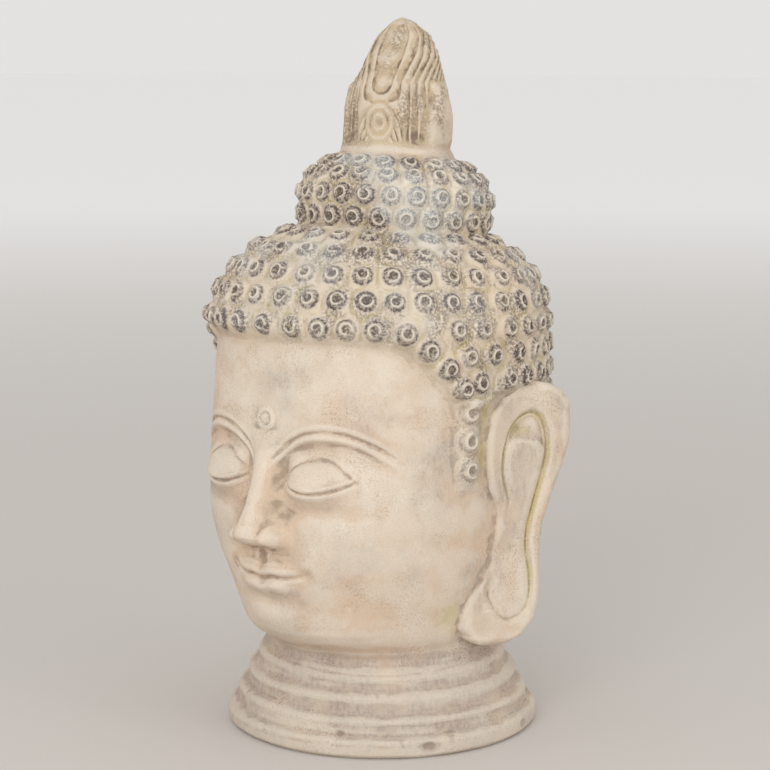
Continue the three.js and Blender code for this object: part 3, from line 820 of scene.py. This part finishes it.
class Paint:
    """Builds the nodes of one material."""

    def __init__(self, name):
        self.material = bpy.data.materials.new(name)
        self.material.use_nodes = True
        self.tree = self.material.node_tree
        self.shader = self.tree.nodes["Principled BSDF"]
        self.place = self.node("ShaderNodeTexCoord").outputs["Object"]

    def node(self, kind, settings=None, inputs=None):
        made = self.tree.nodes.new(kind)
        for name, value in (settings or {}).items():
            setattr(made, name, value)
        for name, value in (inputs or {}).items():
            self.plug(value, made.inputs[name])
        return made

    def plug(self, value, socket):
        if isinstance(value, Value):
            value = value.socket
        if isinstance(value, bpy.types.NodeSocket):
            self.tree.links.new(value, socket)
        else:
            socket.default_value = value

    def maths(self, operation, *values):
        inputs = dict(enumerate(values))
        return Value(self, self.node("ShaderNodeMath", {"operation": operation}, inputs).outputs[0])

    def value(self, name):
        return Value(self, self.node("ShaderNodeAttribute", {"attribute_name": name}).outputs["Fac"])

    def rise(self, value, low, high):
        """0 where a value is below low, 1 above high and smooth between them."""
        inputs = {"Value": value, "From Min": low, "From Max": high}
        ranged = self.node("ShaderNodeMapRange", {"interpolation_type": "SMOOTHSTEP"}, inputs)
        return Value(self, ranged.outputs[0])

    def bell(self, value, width):
        return self.maths("EXPONENT", value * value * (-1 / width**2))

    def noise(self, scale, seed, detail=3, stretch=(1, 1, 1)):
        """Noise over the stone, about 0.5, with its own seed."""
        place = self.node("ShaderNodeMapping", None, {"Vector": self.place, "Scale": stretch}).outputs[0]
        inputs = {"Vector": place, "W": seed, "Scale": scale, "Detail": detail, "Roughness": 0.6}
        return Value(self, self.node("ShaderNodeTexNoise", {"noise_dimensions": "4D"}, inputs).outputs["Fac"])

    def mix(self, share, below, above):
        inputs = {0: share, 6: below, 7: above}
        return self.node("ShaderNodeMix", {"data_type": "RGBA"}, inputs).outputs[2]


def curl_colouring(paint):
    """Shares of each curl's raised spiral, lit with a painted highlight, and of the dark wash round it, which
    holds a painted shade in one side of its groove.
    """
    place = paint.node("ShaderNodeUVMap", {"uv_map": CURL_MAP}).outputs[0]
    axes = paint.node("ShaderNodeSeparateXYZ", None, {0: place})
    u, v = Value(paint, axes.outputs[0]), Value(paint, axes.outputs[1])
    r = (u * u + v * v) ** 0.5
    turn = paint.maths("ARCTAN2", v, u) * (0.5 / math.pi) + 0.5
    ridge = 0
    for lap in (0, 1):
        along = turn + lap
        start = paint.rise(along, 0, SPIRAL_END)
        reach = start * (1 - paint.rise(along, SPIRAL_TURNS - SPIRAL_END, SPIRAL_TURNS))
        ridge = ridge + reach * paint.bell(r - SPIRAL_START + SPIRAL_PITCH * along, 0.75 * RIDGE_WIDTH)
    inside = 1 - paint.rise(r, 0.78, 0.98)
    pool = 1 - paint.rise(r, 0.3, 0.5)
    # Painted shade: a dark crescent in the groove round the spiral, on one side of each curl.
    one_side = paint.rise(u / paint.maths("MAXIMUM", r, 0.1), -1, 0.1)
    painted_groove_shade = paint.bell(r - 0.76, 0.14) * one_side
    wash = paint.maths("MAXIMUM", paint.maths("MAXIMUM", pool, painted_groove_shade), 0.65 * inside)
    return ridge, wash * (1 - 0.9 * ridge)


def weathered_stone_and_painted_light(colours):
    paint = Paint("weathered stone and painted light")
    height = Value(paint, paint.node("ShaderNodeSeparateXYZ", None, {0: paint.place}).outputs[2]) / MM
    hair = paint.value("hair")
    brim = paint.value("brim")
    hollow = paint.value("hollow")
    crease = paint.value("crease")
    edge = paint.value("edge")
    tone = paint.value("curl_tone")
    ridge, wash = curl_colouring(paint)
    fine = paint.noise(900, 1, 3)
    grain = paint.rise(fine, 0.45, 0.62)
    brushed = paint.rise(paint.noise(330, 2, 4, (1, 1, 0.5)), 0.44, 0.6)
    in_flame = paint.rise(height, FLAME_BASE, FLAME_BASE + 8)
    low = 1 - paint.rise(height, 60, 84)

    warm = paint.rise(paint.noise(11, 3), 0.38, 0.64)
    colour = paint.mix(warm, opaque(colours.cream), opaque(colours.peach))
    pale = paint.rise(paint.noise(19, 4), 0.46, 0.66) * (0.3 + 0.4 * brushed)
    colour = paint.mix(pale, colour, opaque(colours.ivory))
    patches = paint.rise(paint.noise(15, 5) + 0.09 * low, 0.46, 0.66)
    colour = paint.mix(patches * (0.24 + 0.3 * brushed) + 0.26 * low, colour, opaque(colours.lilac))
    specks = paint.rise(paint.noise(30, 11), 0.42, 0.64) * paint.rise(paint.noise(760, 12, 2), 0.52, 0.64)
    colour = paint.mix((0.42 + 0.25 * low) * specks, colour, opaque(colours.umber))

    colour = paint.mix(0.5 * in_flame, colour, opaque(colours.bronze))
    colour = paint.mix(0.3 * hair, colour, opaque(colours.straw))

    deep = paint.rise(hollow, 1.8, 6) * (0.3 + 0.7 * paint.rise(paint.noise(34, 6), 0.38, 0.6))
    colour = paint.mix(deep * (0.45 - 0.3 * brim), colour, opaque(colours.ochre))
    in_groove = paint.value("groove") * (0.35 + 0.65 * paint.rise(paint.noise(28, 16), 0.4, 0.56))
    colour = paint.mix(0.8 * in_groove, colour, opaque(colours.ochre))
    between = hair * paint.rise(crease, 0.12, 0.35) * paint.rise(paint.noise(60, 14), 0.4, 0.6)
    colour = paint.mix(0.5 * between, colour, opaque(colours.ochre))
    broken = 0.2 + 0.8 * paint.rise(paint.noise(90, 7), 0.4, 0.58)
    line = (1 - 0.7 * brim) * paint.rise(crease, 0.1, 0.4) * broken
    colour = paint.mix(line * (0.5 + 0.4 * in_flame), colour, opaque(colours.umber))
    # Painted highlight: ivory laid on the raised edges.
    colour = paint.mix(paint.rise(edge, 0.08, 0.4) * 0.45, colour, opaque(colours.ivory))

    scratches = paint.rise(paint.noise(520, 8, 3), 0.42, 0.56)
    smeared = hair * paint.rise(paint.noise(42, 13), 0.42, 0.6) * scratches
    colour = paint.mix(0.6 * smeared, colour, opaque(colours.wash))
    smudged = in_flame * paint.rise(paint.noise(38, 15, 3, (1, 1, 0.5)), 0.46, 0.62) * scratches
    colour = paint.mix(0.65 * smudged, colour, opaque(colours.umber))
    worn = (0.75 + 0.5 * tone) * (0.45 + 0.75 * scratches)
    # The dark wash on the curls, holding the painted shade in one side of each groove.
    colour = paint.mix(paint.maths("MINIMUM", wash * worn, 0.92), colour, opaque(colours.wash))
    # Painted highlight: ivory laid on the raised spiral of each curl.
    colour = paint.mix(0.9 * ridge * (0.6 + 0.4 * grain), colour, opaque(colours.ivory))

    upper = paint.rise(height, 330, 400)
    collar = paint.bell(height - 437, 9)
    dusty = paint.maths("MAXIMUM", (0.25 + 0.5 * upper) * hair, 0.7 * collar)
    spray = dusty * paint.rise(paint.noise(16, 9) + 0.05 * collar, 0.45, 0.66) * (0.3 + 0.7 * grain)
    colour = paint.mix(paint.maths("MINIMUM", spray, 0.8), colour, opaque(colours.spray))
    colour = paint.mix(0.1 * grain, colour, opaque(colours.umber))

    paint.plug(colour, paint.shader.inputs["Base Color"])
    paint.plug(0.82 + 0.12 * grain, paint.shader.inputs["Roughness"])
    paint.shader.inputs["Specular IOR Level"].default_value = 0.3
    relief = 0.6 * fine + 0.6 * paint.noise(260, 10) + 0.9 * ridge
    bump = paint.node("ShaderNodeBump", None, {"Strength": 0.4, "Distance": 0.9 * MM, "Height": relief})
    paint.plug(bump.outputs[0], paint.shader.inputs["Normal"])
    return paint.material


def plain_floor(colours):
    paint = Paint("floor")
    across = paint.node("ShaderNodeVectorMath", {"operation": "LENGTH"}, {0: paint.place}).outputs["Value"]
    # Painted light: the floor grows paler with distance, so that it fades into the bright world at the
    # horizon.
    far = paint.rise(across, 0.4, 6)
    colour = paint.mix(far, opaque(colours.floor), opaque(FAR_FLOOR))
    paint.plug(colour, paint.shader.inputs["Base Color"])
    paint.shader.inputs["Roughness"].default_value = 0.95
    paint.shader.inputs["Specular IOR Level"].default_value = 0.1
    return paint.material


# ---------------------------------------------------------------- settings


class StoneHeadShape(bpy.types.PropertyGroup):
    fineness: bpy.props.IntProperty(
        name="Fineness", description="Facets around the head before they are halved", default=90, min=30
    )
    triangles: bpy.props.IntProperty(
        name="Triangles", description="Triangles left in the finished piece", default=194000, min=20000
    )
    unevenness: bpy.props.FloatProperty(
        name="Unevenness", description="How far the cast surface wavers", default=1.2 * MM, unit="LENGTH"
    )


def colour_property(name, description, red, green, blue):
    default = tuple(round(value, 3) for value in light(red, green, blue)[:3])
    return bpy.props.FloatVectorProperty(
        name=name, description=description, default=default, subtype="COLOR", min=0, max=1
    )


class StoneHeadColours(bpy.types.PropertyGroup):
    cream: colour_property("Cream", "Main colour of the stone", 212, 196, 176)
    peach: colour_property("Peach", "Warmer patches", 213, 189, 165)
    # Ivory also makes the painted highlights on raised edges and on the curls' spirals.
    ivory: colour_property("Ivory", "Paler patches and worn edges", 226, 216, 201)
    lilac: colour_property("Lilac", "Grey patches of brushed wash", 158, 146, 140)
    straw: colour_property("Straw", "The hair between the curls", 222, 210, 188)
    bronze: colour_property("Bronze", "Warm brown tint of the flame", 180, 162, 126)
    ochre: colour_property("Ochre", "Colour left in the hollows", 192, 178, 116)
    umber: colour_property("Umber", "Thin dark lines and specks", 122, 104, 88)
    # The wash also makes the painted shade in one side of each curl's groove.
    wash: colour_property("Wash", "Dark wash round the spirals of the curls", 80, 68, 67)
    spray: colour_property("Spray", "Pale spray over the crown and its collar", 216, 220, 218)
    floor: colour_property("Floor", "The studio floor round the head", 208, 203, 198)


# ---------------------------------------------------------------- operators


class STONEHEAD_OT_form(bpy.types.Operator):
    """Shape the neck, face, skull, hair and flame from one closed ball."""

    bl_idname = "stonehead.form"
    bl_label = "Shape the Head"

    def execute(self, context):
        fineness = context.scene.stone_head_shape.fineness
        curls = Curls()
        head, around, rise = add_ball("head_form", fineness, fineness, HEAD_HALVINGS)
        angle = 360 * around
        up = TOTAL * np.clip((rise - UNDERSIDE_SHARE) / (1 - UNDERSIDE_SHARE), 0, 1)
        points = skin(angle, up)
        points[:, :2] *= np.clip(rise / UNDERSIDE_SHARE, 0, 1)[:, None]
        z = height_at(up)
        hair = hair_share(angle, z)
        hairy = np.flatnonzero((hair > 0) | (z > EDGE_CHAIN[-1][1] - 15) & (z < FLAME_BASE - 5))
        near, to_groove, sideways = curls.nearest(points[hairy])
        u, v = curls.local(points[hairy], near)
        relief = curl_relief(u, v, np.where(hair[hairy] > 0.5, to_groove, 9), sideways)
        points[hairy] += relief[:, None] * curls.out[near]
        write_points(head, points * MM)
        add_point_values(head, "hair", hair)
        around_hair = [hair_share(angle + turn, z + lift) for turn, lift in ((0, 10), (-4, 3), (4, 3))]
        add_point_values(head, "brim", np.maximum.reduce([hair, *around_hair]))
        beside_lock = ease(z, 194, 206) * (1 - ease(z, 262, 272))
        behind_lock = 0.9 * bell(fold(angle) - BEHIND_LOCK, 2.2) * beside_lock
        under_jaw = 0.8 * mound(fold(angle), z, *UNDER_JAW, 5, 13)
        add_point_values(head, "groove", behind_lock + under_jaw)
        return {"FINISHED"}


class STONEHEAD_OT_ears(bpy.types.Operator):
    """Shape the long ears, one on each side."""

    bl_idname = "stonehead.ears"
    bl_label = "Shape the Ears"

    def execute(self, context):
        for name, side in (("left_ear", 1), ("right_ear", -1)):
            ear, around, rise = add_ball(name, *EAR_FACETS, EAR_HALVINGS)
            turned = around if side > 0 else 1 - around
            write_points(ear, ear_surface(turned, rise) * (side, 1, 1) * MM)
            z = EAR_BOTTOM + (EAR_TOP - EAR_BOTTOM) * rise
            share = np.clip(turned / OUTER_SHARE, 0, 1)
            nearest, depth, _ = from_groove(ear_front(z) + share * (ear_back(z) - ear_front(z)), z)
            in_arch = 0.7 * mound(share, z, *EAR_HOLE, 0.12, 5)
            groove = np.where(turned < OUTER_SHARE, depth**2 * bell(nearest, 2.2) + in_arch, 0)
            add_point_values(ear, "groove", groove)
        return {"FINISHED"}


class STONEHEAD_OT_cast(bpy.types.Operator):
    """Join the head and ears into one body, roughen it and thin its mesh."""

    bl_idname = "stonehead.cast"
    bl_label = "Cast in One Body"

    def execute(self, context):
        settings = context.scene.stone_head_shape
        head = bpy.data.objects["head_form"]
        for name in ("left_ear", "right_ear"):
            ear = bpy.data.objects[name]
            apply_modifier(head, "BOOLEAN", operation="UNION", object=ear, solver="MANIFOLD")
            bpy.data.objects.remove(ear)
        head.name = "stone_buddha_head"
        head.data.name = "stone_buddha_head"
        unevenness = bpy.data.textures.new("unevenness", "CLOUDS")
        unevenness.noise_scale = 0.03
        unevenness.noise_depth = 3
        apply_modifier(
            head, "DISPLACE", texture=unevenness, texture_coords="LOCAL", strength=settings.unevenness
        )
        apply_modifier(head, "DECIMATE", ratio=settings.triangles / count_triangles(head))
        bpy.ops.object.select_all(action="DESELECT")
        head.select_set(True)
        bpy.context.view_layer.objects.active = head
        bpy.ops.object.shade_smooth()
        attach(head, "root")
        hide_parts(NODE)
        return {"FINISHED"}


def count_triangles(piece):
    piece.data.calc_loop_triangles()
    return len(piece.data.loop_triangles)


class STONEHEAD_OT_paint(bpy.types.Operator):
    """Find the hollows, creases and raised edges, make the stone's weathered paint with its painted
    highlights and painted shade, and lay it on the head.
    """

    bl_idname = "stonehead.paint"
    bl_label = "Paint the Stone"

    def execute(self, context):
        head = bpy.data.objects["stone_buddha_head"]
        fine = hollowness(head, FINE_ROUNDS)
        add_point_values(head, "crease", np.maximum(fine, 0))
        # Raised edges, where the paint lays a painted highlight.
        add_point_values(head, "edge", np.maximum(-fine, 0))
        add_point_values(head, "hollow", np.maximum(hollowness(head, BROAD_ROUNDS), 0))
        lay_curl_map(head, Curls())
        head.data.materials.clear()
        head.data.materials.append(weathered_stone_and_painted_light(context.scene.stone_head_colours))
        return {"FINISHED"}


class STONEHEAD_OT_stage(bpy.types.Operator):
    """Set up the pale floor, the soft lights and the camera."""

    bl_idname = "stonehead.stage"
    bl_label = "Set Up the Studio"

    def execute(self, context):
        bpy.ops.object.select_all(action="DESELECT")
        bpy.ops.mesh.primitive_plane_add(size=60, location=(0, 0, 0))
        floor = bpy.context.object
        floor.name = "floor"
        floor.data.materials.append(plain_floor(context.scene.stone_head_colours))

        world = bpy.data.worlds.new("studio")
        world.use_nodes = True
        world.node_tree.nodes["Background"].inputs["Color"].default_value = (1, 0.99, 0.975, 1)
        world.node_tree.nodes["Background"].inputs["Strength"].default_value = 0.77
        context.scene.world = world

        for lamp in LAMPS:
            add_lamp(*lamp)

        toward = Vector((math.sin(CAMERA_TURN), -math.cos(CAMERA_TURN), 0))
        sideways = Vector((math.cos(CAMERA_TURN), math.sin(CAMERA_TURN), 0))
        aim = sideways * CAMERA_OFFSET + Vector((0, 0, AIM_HEIGHT))
        place = sideways * CAMERA_OFFSET + toward * CAMERA_DISTANCE + Vector((0, 0, CAMERA_HEIGHT))
        bpy.ops.object.camera_add(location=place, rotation=(aim - place).to_track_quat("-Z", "Y").to_euler())
        camera = bpy.context.object
        camera.data.lens = CAMERA_LENS
        camera.data.sensor_width = CAMERA_SENSOR
        context.scene.camera = camera
        context.scene.view_settings.view_transform = "Standard"
        return {"FINISHED"}


def add_lamp(name, place, size, power):
    place = Vector(place)
    turned = (Vector(LAMP_AIM) - place).to_track_quat("-Z", "Y").to_euler()
    bpy.ops.object.light_add(type="AREA", location=place, rotation=turned)
    lamp = bpy.context.object
    lamp.name = name
    lamp.data.shape = "DISK"
    lamp.data.size = size
    lamp.data.energy = power


class STONEHEAD_PT_panel(bpy.types.Panel):
    bl_label = "Stone Buddha Head"
    bl_idname = "STONEHEAD_PT_panel"
    bl_space_type = "VIEW_3D"
    bl_region_type = "UI"
    bl_category = "Stone Head"

    def draw(self, context):
        for settings in (context.scene.stone_head_shape, context.scene.stone_head_colours):
            box = self.layout.box()
            for name in settings.__annotations__:
                box.prop(settings, name)
        for step in STEPS:
            self.layout.operator(step.bl_idname)


STEPS = (
    STONEHEAD_OT_form,
    STONEHEAD_OT_ears,
    STONEHEAD_OT_cast,
    STONEHEAD_OT_paint,
    STONEHEAD_OT_stage,
)
CLASSES = (StoneHeadShape, StoneHeadColours, *STEPS, STONEHEAD_PT_panel)


def register():
    for cls in CLASSES:
        bpy.utils.register_class(cls)
    bpy.types.Scene.stone_head_shape = bpy.props.PointerProperty(type=StoneHeadShape)
    bpy.types.Scene.stone_head_colours = bpy.props.PointerProperty(type=StoneHeadColours)


def unregister():
    del bpy.types.Scene.stone_head_colours
    del bpy.types.Scene.stone_head_shape
    for cls in reversed(CLASSES):
        bpy.utils.unregister_class(cls)


def main():
    register()
    bpy.ops.stonehead.form()
    bpy.ops.stonehead.ears()
    bpy.ops.stonehead.cast()
    bpy.ops.stonehead.paint()
    bpy.ops.stonehead.stage()


if __name__ == "__main__":
    main()
